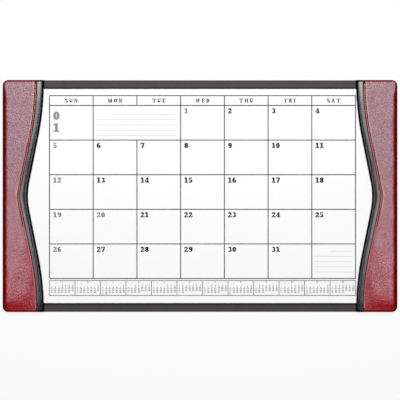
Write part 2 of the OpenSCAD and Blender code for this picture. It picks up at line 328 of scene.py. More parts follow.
# Painted shade: the dip of the stitches and the needle holes turn darker.
dip_shade = add(tree, "Attribute", attribute_name="dip_shade").outputs["Fac"]
painted_dye = between(tree, dip_shade, highlit, "#3a0206")
cockle = clouds(tree, place, COCKLE)
fine = pile(tree, clouds(tree, place, PORE, 3.0), PORE_WEIGHT, pebble)
grain = pile(tree, cockle, COCKLE_WEIGHT, fine)
tree.links.new(remap(tree, cockle, (0, 1), POLISH), shader.inputs["Roughness"])
shader.inputs["Coat Weight"].default_value = 0.15
shader.inputs["Coat Roughness"].default_value = 0.24
shader.inputs["Specular Tint"].default_value = linear("#faf0ff")
dress(tree, shader, painted_dye, grain, 0.10 * MM)

# Two matt copies of the leather, darker than it, are painted shade where the leather rolls down: nearly
# black on the outer side and in the dip, dark red at the ends and on the lip.
SHADE_DYES = {"deep_shade_burgundy_leather": ("#240103", "#380305"),
               "half_shade_burgundy_leather": ("#60040a", "#7c060d")}
shade_leathers = []
for name, (dark, light) in SHADE_DYES.items():
    shade_leather, tree, shader, place = start_material(name, 0.85)
    dye = between(tree, clouds(tree, place, DYE_DRIFT, 4.0), dark, light)
    shader.inputs["Specular IOR Level"].default_value = 0.0
    dress(tree, shader, dye, clouds(tree, place, PORE, 3.0), 0.05 * MM)
    shade_leathers.append(shade_leather)
print("burgundy leather: pebbles of", round(PEBBLE / MM, 1), "mm")

# %% [markdown]
# The trim is a thinner black leather, pulled tight over a cord, so its grain is finer and its finish
# shines more. It is never pure black: worn finish leaves it a warm charcoal. Its rolled edge and its
# ends are painted matt black as shade, which gives a plain black line.

# %% Black leather
FINE_PEBBLE, FINE_PORE_WEIGHT = 1.6 * MM, 0.6

black_leather, tree, shader, place = start_material("black_leather", 0.18, 1.58)
dye = between(tree, clouds(tree, place, DYE_DRIFT, 3.0), "#141214", "#2b2729")
pores = clouds(tree, place, PORE, 3.0)
grain = pile(tree, pores, FINE_PORE_WEIGHT, grooves(tree, place, FINE_PEBBLE))
dress(tree, shader, dye, grain, 0.04 * MM)

# Painted shade: the trim's rolled edge and ends are matt black.
edge_shade, tree, shader, place = start_material("black_painted_edge_shade", 0.9)
edge_speckle = clouds(tree, place, PORE)
shader.inputs["Specular IOR Level"].default_value = 0.0
dress(tree, shader, between(tree, edge_speckle, "#050505", "#0c0b0c"), edge_speckle, 0.03 * MM)
print("black leather: pebbles of", round(FINE_PEBBLE / MM, 1), "mm")

# %% [markdown]
# The board is covered in leatherette, vinyl on paper with an embossed grain. An embossing roller
# gives even, shallow bumps, and the vinyl is duller than leather, so it reads as a flat dark grey.

# %% Leatherette
EMBOSS = 1.4 * MM

leatherette, tree, shader, place = start_material("embossed_leatherette", 0.60)
vinyl = between(tree, clouds(tree, place, DYE_DRIFT), "#261f20", "#342c2d")
emboss = add(tree, "TexVoronoi", {"Vector": place, "Scale": 1 / EMBOSS}).outputs["Distance"]
dress(tree, shader, vinyl, emboss, 0.08 * MM)
print("leatherette: embossed every", round(EMBOSS / MM, 1), "mm")

# %% [markdown]
# The sheets are uncoated writing paper: matt, nearly white, with a faint cloud of fibres. The print
# is offset ink that soaks in, so it is as matt as the paper. It comes in four strengths, from the
# black of the dates to the pale grey of the writing lines.

# %% Paper and ink
FIBRE_CLOUD = 9 * MM
THIN_INK = 0.9
INK_COLOURS = {"black_ink": "#050506", "rule_ink": "#2b2b30", "grey_ink": "#8c8f94",
               "pale_ink": "#c4c6c8"}

writing_paper, tree, shader, place = start_material("writing_paper", 0.85)
fibres = clouds(tree, place, FIBRE_CLOUD, 5.0)
dress(tree, shader, between(tree, fibres, "#f8f8f7", "#fbfbfa"), fibres, 0.02 * MM)

inks = []
for name, colour in INK_COLOURS.items():
    ink, tree, shader, place = start_material(name, 0.8)
    soak = clouds(tree, place, FIBRE_CLOUD)
    thin = [THIN_INK * channel for channel in linear(colour)]
    dress(tree, shader, between(tree, soak, thin, colour), soak, 0.005 * MM)
    inks.append(ink)
print("inks:", ", ".join(ink.name for ink in inks))

# %% [markdown]
# The thread is twisted polyester, a shade brighter than the leather, with the silky gloss of its
# filaments. The other pieces are plain bookbinder's stock: black card, padding glue, grey board,
# wool felt, a woven lining and soft foam. They show little, and each still has its own grain. Each
# line of the list has two colours, the roughness, and the width and depth of a speck in millimetres.

# %% Thread, card, board, felt, lining and foam
STOCK = {
    "polyester_thread": ("#e87488", "#ffb0be", 0.45, 0.5, 0.05),
    "black_card": ("#0e0e0f", "#161617", 0.90, 0.6, 0.04),
    "padding_glue": ("#0a0a0b", "#141416", 0.55, 4.0, 0.05),
    "grey_board": ("#7d7566", "#989080", 0.90, 0.8, 0.08),
    "wool_felt": ("#1c1c1e", "#303033", 1.00, 0.7, 0.25),
    "woven_lining": ("#171517", "#2a272a", 0.75, 0.9, 0.06),
    "open_cell_foam": ("#c9bd8c", "#e2d8ae", 0.95, 1.2, 0.20),
}

stock = {}
for name, (dark, light, roughness, speck, depth) in STOCK.items():
    stock[name], tree, shader, place = start_material(name, roughness)
    specks = clouds(tree, place, speck * MM, 4.0)
    dress(tree, shader, between(tree, specks, dark, light), specks, depth * MM)
stock["black_card"].node_tree.nodes["Principled BSDF"].inputs["Specular IOR Level"].default_value = 0.1
stock["wool_felt"].node_tree.nodes["Principled BSDF"].inputs["Sheen Weight"].default_value = 0.4
print("stock:", ", ".join(stock))

# %% [markdown]
# ## Flat layers
# Board, spacers, felt, card and sheets are cut from flat stock, and the frame has their true shapes.
# They keep their meshes. The wrapped leatherette would look like sheet metal with its sharp edges, so
# a weld joins its faces and a small bevel rounds it, as a modifier that leaves the mesh alone.

# %% Finishes of the flat layers
LAYER_FINISH = {"felt_backing": stock["wool_felt"], "base_board": stock["grey_board"],
                "base_cover": leatherette, "calendar_backer": stock["black_card"],
                "binding_glue": stock["padding_glue"]}
LAYER_FINISH |= {f"{side}_spacer_strip": stock["grey_board"] for side in SIDES}
LAYER_FINISH |= {f"{side}_rail_lining": stock["woven_lining"] for side in SIDES}
LAYER_FINISH |= {f"{side}_rail_stiffener": stock["grey_board"] for side in SIDES}
LAYER_FINISH |= {f"month_sheet_{month:02d}": writing_paper for month in MONTHS}
COVER_WELD, COVER_EDGE_R, COVER_EDGE_STEPS = 0.01 * MM, 0.4 * MM, 3

for name, material in LAYER_FINISH.items():
    nodes[name].data.materials.clear()
    nodes[name].data.materials.append(material)
weld = nodes["base_cover"].modifiers.new("joined_faces", "WELD")
weld.merge_threshold = COVER_WELD
bevel = nodes["base_cover"].modifiers.new("rounded_edges", "BEVEL")
bevel.width = COVER_EDGE_R
bevel.segments = COVER_EDGE_STEPS
print("flat layers finished:", len(LAYER_FINISH))

# %% [markdown]
# ## Lines of a rail
# A rail is drawn in its own terms: u runs from the outer side inwards, v along the rail and h up from
# its underside. The seam and the inner edge are each an arc at the middle, a straight diagonal, and a
# wider arc that turns straight at the ends. One function gives both lines, so they stay in step.

# %% Outline, seam and inner edge
CORNER_R = 12 * MM
SEAM_MID_R = 30 * MM
EDGE_MID_R = 160 * MM
END_R = 600 * MM
END_RUN = 4 * MM


def corner_u(d):
    """How far the rounded corner draws in, at the distance d from the end."""
    inside = np.clip(CORNER_R - d, 0, CORNER_R)
    return CORNER_R - np.sqrt(CORNER_R ** 2 - inside ** 2)


def line_u(v, end_w, mid_w, mid_r):
    """Distance from the outer side of a line that is end_w away at the ends and mid_w at the middle."""
    a = np.abs(v)
    bend_end = HALF_D - END_RUN
    r = mid_r + END_R
    across = r - (end_w - mid_w)
    slope = math.atan2(bend_end, across) - math.acos(r / math.hypot(across, bend_end))
    mid_end = mid_r * math.sin(slope)
    bend_start = bend_end - END_R * math.sin(slope)
    middle = mid_w + mid_r - np.sqrt(np.maximum(mid_r ** 2 - a ** 2, 0))
    diagonal = mid_w + mid_r * (1 - math.cos(slope)) + (a - mid_end) * math.tan(slope)
    bend = end_w - END_R + np.sqrt(np.maximum(END_R ** 2 - (bend_end - a) ** 2, 0))
    return np.select([a < mid_end, a < bend_start, a < bend_end], [middle, diagonal, bend], end_w)


def outer_u(v):
    return corner_u(HALF_D - np.abs(v))


def seam_u(v):
    return line_u(v, SEAM_END, SEAM_MID, SEAM_MID_R)


def edge_u(v):
    return line_u(v, EDGE_END, EDGE_MID, EDGE_MID_R)


print("seam 100 mm from the middle:", round(float(seam_u(100 * MM)) / MM, 1), "mm from the side")


# %% [markdown]
# ## Building a rail piece
# Leather over foam is a smooth sheet, so each cover starts as a fine grid of points. Cloth simulation
# would be the other way, but the foam is only 3 mm thick and glued, and a formula holds the seam
# and the roll exactly where the photograph has them. The right rail is the left one mirrored, which
# turns its faces round.


# %% Grids, lofts and pieces
def grid_faces(rows, columns):
    """Faces of a grid of points that is stored row by row."""
    first = (np.arange(rows - 1)[:, None] * columns + np.arange(columns - 1)).ravel()
    return np.column_stack([first, first + 1, first + columns + 1, first + columns]).tolist()


def loft_faces(rings, points):
    """Faces round a row of closed sections, with a cap at each end."""
    faces = []
    for ring in range(rings - 1):
        for k in range(points):
            near, far = ring * points + k, ring * points + (k + 1) % points
            faces.append((near, far, far + points, near + points))
    last = (rings - 1) * points
    return faces + [tuple(range(points))[::-1], tuple(range(last, last + points))]


def rail_piece(name, side, points, faces, material, body):
    """Makes a piece from points in u, v and h, on the left or mirrored to the right."""
    flat = np.asarray(points).reshape(-1, 3)
    mirror = 1 if side == "left" else -1
    placed = np.column_stack([mirror * (flat[:, 0] - PAD_W / 2), flat[:, 1], RAIL_Z + flat[:, 2]])
    mesh = bpy.data.meshes.new(name)
    mesh.from_pydata(placed.tolist(), [], [face[::mirror] for face in faces])
    mesh.polygons.foreach_set("use_smooth", [True] * len(mesh.polygons))
    mesh.materials.append(material)
    piece = put(name, mesh)
    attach(piece, body)
    return piece


def thicken(piece, thickness):
    """Gives a skin its thickness, inwards."""
    shell = piece.modifiers.new("thickness", "SOLIDIFY")
    shell.thickness = thickness
    shell.offset = -1


# Rows along a rail: four to a stitch, and closer together towards the rounded ends
STITCH_PITCH = 5 * MM
STITCH_INSET = 2.4 * MM
FRONT_ROUND, REAR_ROUND = 4.0 * MM, 4.0 * MM
END_ZONE = 16 * MM
END_ROWS = 14
ROW_STEP = STITCH_PITCH / 4


def end_rows(rounding):
    """Distances of the rows near one end from the middle, the last one first."""
    reach = END_ZONE - rounding
    turn = np.linspace(0, np.pi / 2, END_ROWS, endpoint=False)
    return HALF_D - rounding - reach * (1 - np.cos(turn))


even_reach = math.floor((HALF_D - END_ZONE) / ROW_STEP)
even_rows = np.arange(-even_reach, even_reach + 1) * ROW_STEP
rail_rows = np.concatenate([-end_rows(FRONT_ROUND), even_rows, end_rows(REAR_ROUND)[::-1]])
print("rows along a rail:", len(rail_rows))

# %% [markdown]
# ## Leather of a rail
# Across the rail, the leather rolls up from the outer side in a quarter ellipse, lies flat over the
# foam, swells to a small ridge, dips beside the stitches and ends in a folded lip on the trim. The
# front end falls in a round to a sloping flange, where the foam stops; the rear end is fuller, and
# the side roll narrows towards it. The stitches pull the leather in, so the dip is deeper at each
# needle hole. Towards the front the foam is domed: the leather sinks to the seam there, its fall to
# the front begins further back on that side, and the dip fades.

# %% Height of the leather
SIDE_ROLL, REAR_ROLL = 12 * MM, 6 * MM
ROLL_ARC = 0.82
REAR_ROLL_START, REAR_ROLL_END = 45 * MM, 12 * MM
SIDE_FOOT = 2.1 * MM
CROWN = 6.1 * MM
FRONT_H, REAR_H = 2.7 * MM, 4.4 * MM
FRONT_FLANGE, REAR_FLANGE = 12 * MM, 1 * MM
FLANGE_RISE = 0.13
FRONT_FALL, INNER_FALL, REAR_FALL = 19 * MM, 80 * MM, 24 * MM
FALL_START = 0.08
SEAM_DROP = 1.2 * MM
SEAM_FALL, FRONT_SEAM_FALL = 5.6 * MM, 24 * MM
RIDGE_H, RIDGE_AT, RIDGE_W = 0.06 * MM, 6.0 * MM, 1.3 * MM
DIP, DIP_AT, DIP_W = 0.9 * MM, 4.2 * MM, 1.0 * MM
DIP_NONE, DIP_FULL = -110 * MM, -30 * MM
DOME_RISE, DOME_SAG = 0.8 * MM, 1.6 * MM
DOME_NONE, DOME_FULL = -50 * MM, -225 * MM
DOME_BEND = 1.5
PUCKER = 0.35
WAVE_H = 0.10 * MM
WAVES = ((61 * MM, 83 * MM), (37 * MM, -112 * MM), (148 * MM, 54 * MM))


def round_over(x, share=1.0):
    """Rises from 0 to 1 as x does, along the last share of a quarter round."""
    left = share * (1 - np.clip(x, 0, 1))
    return 1 - (1 - np.sqrt(1 - left ** 2)) / (1 - math.sqrt(1 - share ** 2))


def ease(x):
    """Rises from 0 to 1 in a soft S as x does."""
    t = np.clip(x, 0, 1)
    return t * t * (3 - 2 * t)


def hump(x, width):
    return np.exp(-(x / width) ** 2)


def end_low(v):
    return np.where(v < 0, FRONT_H, REAR_H)


def end_rise(v, inwards):
    """How far the rail has risen from its end, by a flange and then a round, at a share inwards."""
    d = HALF_D - np.abs(v)
    flange = np.where(v < 0, FRONT_FLANGE, REAR_FLANGE)
    front_fall = FRONT_FALL + (INNER_FALL - FRONT_FALL) * inwards ** 2
    fall = np.where(v < 0, front_fall, REAR_FALL)
    lift = FLANGE_RISE * flange / (CROWN - end_low(v))
    low = round_over(FALL_START)
    bend = (round_over(FALL_START + (1 - FALL_START) * (d - flange) / fall) - low) / (1 - low)
    return np.where(d < flange, lift * d / flange, lift + (1 - lift) * bend)


def side_roll(v):
    """Width of the roll at the outer side."""
    to_rear = HALF_D - v
    narrowed = ease((REAR_ROLL_START - to_rear) / (REAR_ROLL_START - REAR_ROLL_END))
    return SIDE_ROLL + (REAR_ROLL - SIDE_ROLL) * narrowed


def dome_share(v):
    """How far the foam is domed towards the front."""
    return ease((v - DOME_NONE) / (DOME_FULL - DOME_NONE))


def dip_share(v):
    """How deep the dip beside the stitches is: it fades towards the front."""
    return ease((v - DIP_NONE) / (DIP_FULL - DIP_NONE))


def cover_h(u, v):
    """Height of the leather above the underside of the rail."""
    to_seam = seam_u(v) - u
    inwards = np.clip((u - SIDE_ROLL) / (seam_u(v) - SIDE_ROLL), 0, 1)
    sewn = end_rise(v, inwards)
    pull = 1 + PUCKER * np.cos(2 * np.pi * v / STITCH_PITCH)
    seam_fall = SEAM_FALL + (FRONT_SEAM_FALL - SEAM_FALL) * dome_share(v)
    drop = SEAM_DROP * (1 - round_over(to_seam / seam_fall))
    dip = DIP * pull * dip_share(v) * hump(to_seam - DIP_AT, DIP_W)
    relief = RIDGE_H * hump(to_seam - RIDGE_AT, RIDGE_W) - dip
    wave = WAVE_H * sum(np.sin(2 * np.pi * (u / across + v / along)) for across, along in WAVES)
    low = end_low(v)
    dome = dome_share(v) * (DOME_RISE - (DOME_RISE + DOME_SAG) * inwards ** DOME_BEND)
    top = low + sewn * (CROWN - low - drop + dome + relief + wave)
    return SIDE_FOOT + (top - SIDE_FOOT) * round_over((u - outer_u(v)) / side_roll(v), ROLL_ARC)


print("leather at the middle:", round(float(cover_h(0.6 * SEAM_MID, 0.0)) / MM, 2), "mm high")

# %% [markdown]
# The grid's columns crowd together at the roll and at the stitches, where the shape turns. The lip is
# a quarter round that tucks down behind the trim. A skirt of rings then closes the two ends and the
# outer side: at the ends it rounds over, at the side it drops straight to the fold of the rail. The
# strength of the painted highlight on the ridge is given at a few places along it.

# %% Rail leather
LEATHER_T = 0.8 * MM
ROLL_COLUMNS, FLAT_COLUMNS, SEAM_COLUMNS, LIP_COLUMNS = 12, 15, 22, 5
SEAM_ZONE = 9.5 * MM
LIP_R = 0.9 * MM
LIP_TUCK = 0.8 * MM
SKIRT_RINGS = 5
SKIRT_FOOT = 0.5
FOLD_CREASE = 0.25 * MM
# Columns and widths of the painted shade, the painted highlight along the ridge, and the strength of the
# painted shade in the dip.
DEEP_SHADE_COLUMNS, HALF_SHADE_COLUMNS = 5, 8
DIP_SHADE_W, LIP_SHADE_W = 1.0 * MM, 3.2 * MM
DIP_SHADE_FROM = 0.5
HIGHLIGHT_W = 0.9 * MM
HIGHLIGHT_AT = np.array([-40, -10, 15, 40, 110, 150]) * MM
HIGHLIGHTS = (0, 0.55, 0.55, 0.2, 0.3, 0.6)
DIP_SHADE_MOST = 0.8


def cover_grid():
    """Points of the leather's top, by row and column, from the outer side to the tucked lip."""
    v = rail_rows[:, None]
    low, high = outer_u(v), seam_u(v)
    roll = low + side_roll(v) * (1 - np.cos(np.linspace(0, np.pi / 2, ROLL_COLUMNS)))
    flat_end = high - SEAM_ZONE
    flat = roll[:, -1:] + (flat_end - roll[:, -1:]) * np.linspace(0, 1, FLAT_COLUMNS + 2)[1:-1]
    seam = high - np.linspace(SEAM_ZONE, LIP_R, SEAM_COLUMNS)
    u = np.hstack([roll, flat, seam])
    h = cover_h(u, v)
    turn = np.linspace(0, np.pi / 2, LIP_COLUMNS + 1)[1:]
    u = np.hstack([u, high - LIP_R + LIP_R * np.sin(turn), high])
    lip = h[:, -1:]
    h = np.hstack([h, lip - LIP_R * (1 - np.cos(turn)), lip - LIP_R - LIP_TUCK])
    return np.stack([u, np.broadcast_to(v, u.shape), h], axis=-1)


def skirt(grid, border, reach):
    """Rings of points that round over from the border of a grid and drop to the underside."""
    start = np.array([grid[spot] for spot in border])
    rings = []
    for turn in np.linspace(0, np.pi / 2, SKIRT_RINGS)[1:]:
        ring = start.copy()
        ring[:, 1] += reach * np.sin(turn)
        ring[:, 2] *= SKIRT_FOOT + (1 - SKIRT_FOOT) * np.cos(turn)
        rings.append(ring)
    foot = rings[-1].copy()
    foot[:, 0] += FOLD_CREASE * (reach == 0)
    foot[:, 2] = 0
    return rings + [foot]


def skirted(grid, *skirts):
    """Points and faces of a grid with skirts, each given by its border and its reach."""
    rows, columns = grid.shape[:2]
    points, faces = grid.reshape(-1, 3), grid_faces(rows, columns)
    for border, reach in skirts:
        upper = [i * columns + j for i, j in border]
        for ring in skirt(grid, border, reach):
            lower = range(len(points), len(points) + len(ring))
            faces += [(upper[k], lower[k], lower[k + 1], upper[k + 1]) for k in range(len(ring) - 1)]
            points = np.vstack([points, ring])
            upper = lower
    return points, faces


cover = cover_grid()
rows, columns = cover.shape[:2]
top_columns = columns - 1
rear_end = [(rows - 1, j) for j in range(top_columns - 1, -1, -1)]
outer_side = [(i, 0) for i in range(rows - 2, 0, -1)]
front_end = [(0, j) for j in range(top_columns)]
rear_reach = np.maximum(REAR_ROUND - corner_u(cover[-1, :top_columns, 0]), 0)[::-1]
front_reach = np.minimum(corner_u(cover[0, :top_columns, 0]) - FRONT_ROUND, 0)
cover_reach = np.concatenate([rear_reach, np.zeros(len(outer_side)), front_reach])
cover_points, cover_faces = skirted(cover, (rear_end + outer_side + front_end, cover_reach))
to_seam = seam_u(cover[..., 1]) - cover[..., 0]
# How much paler the ridge is, as a painted highlight, along the rail.
highlight_share = hump(to_seam - RIDGE_AT, HIGHLIGHT_W) * np.interp(cover[..., 1], HIGHLIGHT_AT, HIGHLIGHTS)
holes = 0.5 + 0.5 * np.cos(2 * np.pi * cover[..., 1] / STITCH_PITCH)
# How much darker the dip and the needle holes are, as painted shade.
dip_shade_share = hump(to_seam - DIP_AT, DIP_W) + holes * hump(to_seam - STITCH_INSET, DIP_W)
dip_shade_share = DIP_SHADE_MOST * np.minimum(dip_shade_share, 1) * dip_share(cover[..., 1])
painted_marks = {"ridge_highlight": highlight_share, "dip_shade": dip_shade_share}
top_faces = (rows - 1) * (columns - 1)
# Faces of painted shade: the nearly black copy on the outer roll, its skirt and the dip, and the dark red
# one on the lip, the next columns of the roll and the end skirts.
cover_shade_index = np.zeros(len(cover_faces), int)
face_columns = np.arange(top_faces) % (columns - 1)
face_to_seam = to_seam[:-1, :-1].ravel()
dipped = np.repeat(dip_share(rail_rows[:-1]) > DIP_SHADE_FROM, columns - 1)
dark = (face_columns < DEEP_SHADE_COLUMNS) | (dipped & (np.abs(face_to_seam - DIP_AT) < DIP_SHADE_W))
half_shade = (face_columns < HALF_SHADE_COLUMNS) | (face_to_seam < LIP_SHADE_W)
cover_shade_index[:top_faces] = np.select([dark, half_shade], [1, 2])
cover_shade_index[top_faces:] = np.tile(np.where(cover_reach[1:] == 0, 1, 2), SKIRT_RINGS)

for side in SIDES:
    piece = rail_piece(f"{side}_rail_leather", side, cover_points, cover_faces, burgundy_leather,
                       f"{side}_rail")
    for painted_name, shares in painted_marks.items():
        values = np.zeros(len(cover_points))
        values[:shares.size] = shares.ravel()
        piece.data.attributes.new(painted_name, "FLOAT", "POINT").data.foreach_set("value", values)
    for finish in shade_leathers:
        piece.data.materials.append(finish)
    piece.data.polygons.foreach_set("material_index", cover_shade_index)
    thicken(piece, LEATHER_T)
    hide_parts(f"{side}_rail_cover")
print("rail leather:", len(cover_points), "points on each side")

# %% [markdown]
# ## Trim
# The trim is a strip of black leather sewn to the lip, laid over a filler cord and folded under the
# rail's inner edge. It starts below the lip, swells to a crest near the seam, and slopes to a crease
# and a small rolled edge beside the paper. Stitches and the bend of the V leave fine puckers in it.
# The rolled edge and the rounded ends are painted matt black as shade, and read as a black line. The
# cord lies tighter in some places than in others, so how far the top leans and how wide it is change
# along the rail. Both are given at a few places, and lines join them.

# %% Trim
TRIM_T = 0.8 * MM
TRIM_START = -1.5 * MM
GROOVE_H, CREST_H = 3.9 * MM, 5.9 * MM
CREST_AT = 1.6 * MM
BEND_W, TRIM_FALL = 2.0 * MM, 0.15
LIP_W, LIP_H = 0.8 * MM, 0.05 * MM
EDGE_W, EDGE_FOOT = 4.2 * MM, 0.6 * MM
CREASE_DEPTH, CREASE_W, CREASE_ZONE = 0.25 * MM, 0.35 * MM, 1.0 * MM
FOLD_UNDER = 4 * MM
TRIM_END_SHARE = 0.78
TOP_COLUMNS, CREASE_COLUMNS, EDGE_COLUMNS = 30, 12, 10
TRIM_PUCKER, TRIM_PUCKER_W = 0.10 * MM, 3 * MM
LEAN_AT = np.array([-240, -190, -150, -75, -45, 0, 68, 145, 200, 230]) * MM
LEANS = (0.066, 0.066, 0.059, 0.055, 0.055, 0.066, 0.080, 0.048, 0.045, 0.012)
TOP_AT = np.array([-240, -120, 0, 120, 240]) * MM
TOP_SHARES = (0.62, 0.52, 0.47, 0.52, 0.85)


def trim_h(x, w, v):
    """Height of the trim at the distance x from the seam, where the trim is w wide."""
    crease = w - EDGE_W - LIP_W
    lean = np.interp(v, LEAN_AT, LEANS)
    top_w = np.interp(v, TOP_AT, TOP_SHARES) * (crease - CREST_AT)
    sag = DOME_SAG * dome_share(v)
    climb = round_over((x - TRIM_START) / (CREST_AT - TRIM_START))
    rise = GROOVE_H + (CREST_H - GROOVE_H) * climb - sag
    past_crest = np.clip(np.minimum(x, crease) - CREST_AT, 0, None)
    past_top = np.clip(past_crest - top_w, 0, None)
    bent = np.minimum(past_top, BEND_W)
    fall = lean * past_crest + (TRIM_FALL - lean) * (bent ** 2 / (2 * BEND_W) + past_top - bent)
    lip = CREST_H - sag - fall + LIP_H * ease((x - crease) / LIP_W)
    edge = np.clip((x - w + EDGE_W) / EDGE_W, 0, 1)
    shape = EDGE_FOOT + (lip - EDGE_FOOT) * np.sqrt(1 - edge ** 2)
    shape = np.where(x < CREST_AT, rise, shape) - CREASE_DEPTH * hump(x - crease, CREASE_W)
    shape = shape + TRIM_PUCKER * np.cos(2 * np.pi * v / STITCH_PITCH) * hump(x, TRIM_PUCKER_W)
    return shape * (TRIM_END_SHARE + (1 - TRIM_END_SHARE) * end_rise(v, 0))


def trim_grid():
    """Points of the trim, by row and column, from below the lip to the fold under the rail."""
    v = rail_rows[:, None]
    low = seam_u(v)
    w = edge_u(v) - low
    crease = w - EDGE_W - LIP_W - CREASE_ZONE
    top = TRIM_START + (crease - TRIM_START) * np.linspace(0, 1, TOP_COLUMNS)
    lip = crease + (LIP_W + CREASE_ZONE) * np.linspace(0, 1, CREASE_COLUMNS + 1)[1:]
    edge = w - EDGE_W + EDGE_W * np.sin(np.linspace(0, np.pi / 2, EDGE_COLUMNS + 1))[1:]
    x = np.hstack([top, lip, edge])
    h = trim_h(x, w, v)
    x = np.hstack([x, w - FOLD_CREASE, w - FOLD_UNDER])
    h = np.hstack([h, np.zeros((len(h), 2))])
    return np.stack([low + x, np.broadcast_to(v, x.shape), h], axis=-1)


trim = trim_grid()
rows, columns = trim.shape[:2]
over = columns - 2
rear_end = [(rows - 1, j) for j in range(over - 1, -1, -1)]
front_end = [(0, j) for j in range(over)]
rear_skirt = (rear_end, np.full(over, REAR_ROUND))
front_skirt = (front_end, np.full(over, -FRONT_ROUND))
trim_points, trim_faces = skirted(trim, rear_skirt, front_skirt)
top_faces = (rows - 1) * (columns - 1)
face_numbers = np.arange(len(trim_faces))
# The rolled edge and the end skirts of the trim take the matt black of painted shade.
edge_columns = face_numbers % (columns - 1) >= TOP_COLUMNS + CREASE_COLUMNS
trim_shade_index = ((face_numbers >= top_faces) | edge_columns).astype(int)

for side in SIDES:
    piece = rail_piece(f"{side}_trim_leather", side, trim_points, trim_faces, black_leather,
                       f"{side}_rail")
    piece.data.materials.append(edge_shade)
    piece.data.polygons.foreach_set("material_index", trim_shade_index)
    thicken(piece, TRIM_T)
    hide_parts(f"{side}_rail_trim")
print("trim:", len(trim_points), "points on each side")

# %% [markdown]
# ## Fillings
# Foam under the burgundy leather and a filler cord under the trim give both their swell. They are
# closed forms, a little smaller than their covers and flat where they lie on the stiffener, so
# nothing shows through when a rail is lifted.

# %% Foam and filler cord
FILL_ROWS = 81
FILL_POINTS = 19
FILL_END = 4 * MM
FOAM_IN, FOAM_SEAM = 2.4 * MM, 1.6 * MM
CORD_IN, CORD_OUT = 0.8 * MM, 4.6 * MM
SKIN_GAP = 1.15 * MM
LEAST_FILL = 0.15 * MM


def filling(low, high, height):
    """Points of a filling: per row, a flat underside and a top that follows the height."""
    rings = []
    for v in np.linspace(FILL_END - HALF_D, HALF_D - FILL_END, FILL_ROWS):
        u = np.linspace(low(v), high(v), FILL_POINTS)
        h = np.maximum(height(u, v) - SKIN_GAP, STACK_T + LEAST_FILL)
        base = [(u[0], v, STACK_T), *zip(u, np.full(FILL_POINTS, v), h), (u[-1], v, STACK_T)]
        rings.append(base)
    return np.array(rings)[:, ::-1]


def foam_height(u, v):
    return cover_h(u, np.full_like(u, v))


def cord_height(u, v):
    return trim_h(u - seam_u(v), edge_u(v) - seam_u(v), v)


foam = filling(lambda v: outer_u(v) + FOAM_IN, lambda v: seam_u(v) - FOAM_SEAM, foam_height)
cord = filling(lambda v: seam_u(v) + CORD_IN, lambda v: edge_u(v) - CORD_OUT, cord_height)
for side in SIDES:
    for name, points, node in (("foam_pad", foam, "rail_foam"), ("filler_cord", cord, "trim_core")):
        piece = rail_piece(f"{side}_{name}", side, points, loft_faces(*points.shape[:2]),
                           stock["open_cell_foam"], f"{side}_rail")
        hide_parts(f"{side}_{node}")
print("fillings:", foam.shape[:2], "points each")

# %% [markdown]
# ## Stitches
# One row of lockstitch joins the leather to the trim. Each stitch is a short piece of two-ply thread
# that comes up through one hole, lies at a slant and dives into the next. A swept tube with a
# two-lobed section shows the twist. It is worked out stitch by stitch, because the seam bends.

# %% Stitches
STITCH_MARGIN = 8 * MM
THREAD_R = 0.9 * MM
STITCH_HALF = 2.15 * MM
STITCH_STAND = 0.05 * MM
STITCH_SLANT = 0.7 * MM
STITCH_SINK = 0.75 * MM
PLY_DEPTH = 0.16
PLY_TURNS = 1.5
STITCH_RINGS, STITCH_SIDES = 11, 10

stitch_count = math.floor(2 * (HALF_D - STITCH_MARGIN) / STITCH_PITCH)
stitch_places = (np.arange(stitch_count) - (stitch_count - 1) / 2) * STITCH_PITCH


def stitch_rings(place):
    """Rings of one stitch, from where it leaves a hole to where it enters the next."""
    along = np.linspace(-1, 1, STITCH_RINGS)[:, None]
    round_it = np.linspace(0, 2 * np.pi, STITCH_SIDES, endpoint=False)
    v = place + along * STITCH_HALF
    u = seam_u(v) - STITCH_INSET + along * STITCH_SLANT
    bed = cover_h(seam_u(place) - STITCH_INSET, place)
    h = bed + STITCH_STAND - (STITCH_SINK + THREAD_R) * along ** 6
    radius = THREAD_R * (1 + PLY_DEPTH * np.cos(2 * (round_it - np.pi * PLY_TURNS * along)))
    return np.stack([u + radius * np.cos(round_it), np.broadcast_to(v, radius.shape),
                     h + radius * np.sin(round_it)], axis=-1)


stitch_points = np.array([stitch_rings(place) for place in stitch_places])
stitch_pattern = loft_faces(STITCH_RINGS, STITCH_SIDES)
per_stitch = STITCH_RINGS * STITCH_SIDES
stitch_faces = [tuple(k * per_stitch + corner for corner in face[::-1])
                for k in range(stitch_count) for face in stitch_pattern]
for side in SIDES:
    piece = rail_piece(f"{side}_seam_thread", side, stitch_points, stitch_faces,
                       stock["polyester_thread"], f"{side}_rail")
    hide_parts(f"{side}_seam_stitches")
print("stitches:", stitch_count, "on each side")

# %% [markdown]
# ## Edge wraps
# Below the fold of a rail the same hide goes round the side of the board and is turned in underneath.
# A strip swept along the outline has the rounded lower edge of bent leather, which a plain wall
# lacks. Its top edge is rounded as well, so that the fold shows as a fine crease.

# %% Edge wraps
WRAP_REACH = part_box("left_spacer_strip")[1].x + PAD_W / 2
WRAP_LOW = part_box("left_edge_wrap")[0].z - RAIL_Z
WRAP_IN = 0.85 * MM
WRAP_BEND_R = 2.2 * MM
WRAP_CREASE = 0.45 * MM
WRAP_DROP = 0.1 * MM
TURN_IN = 10.5 * MM
BEND_STEPS = 6
ARC_STEPS = 12


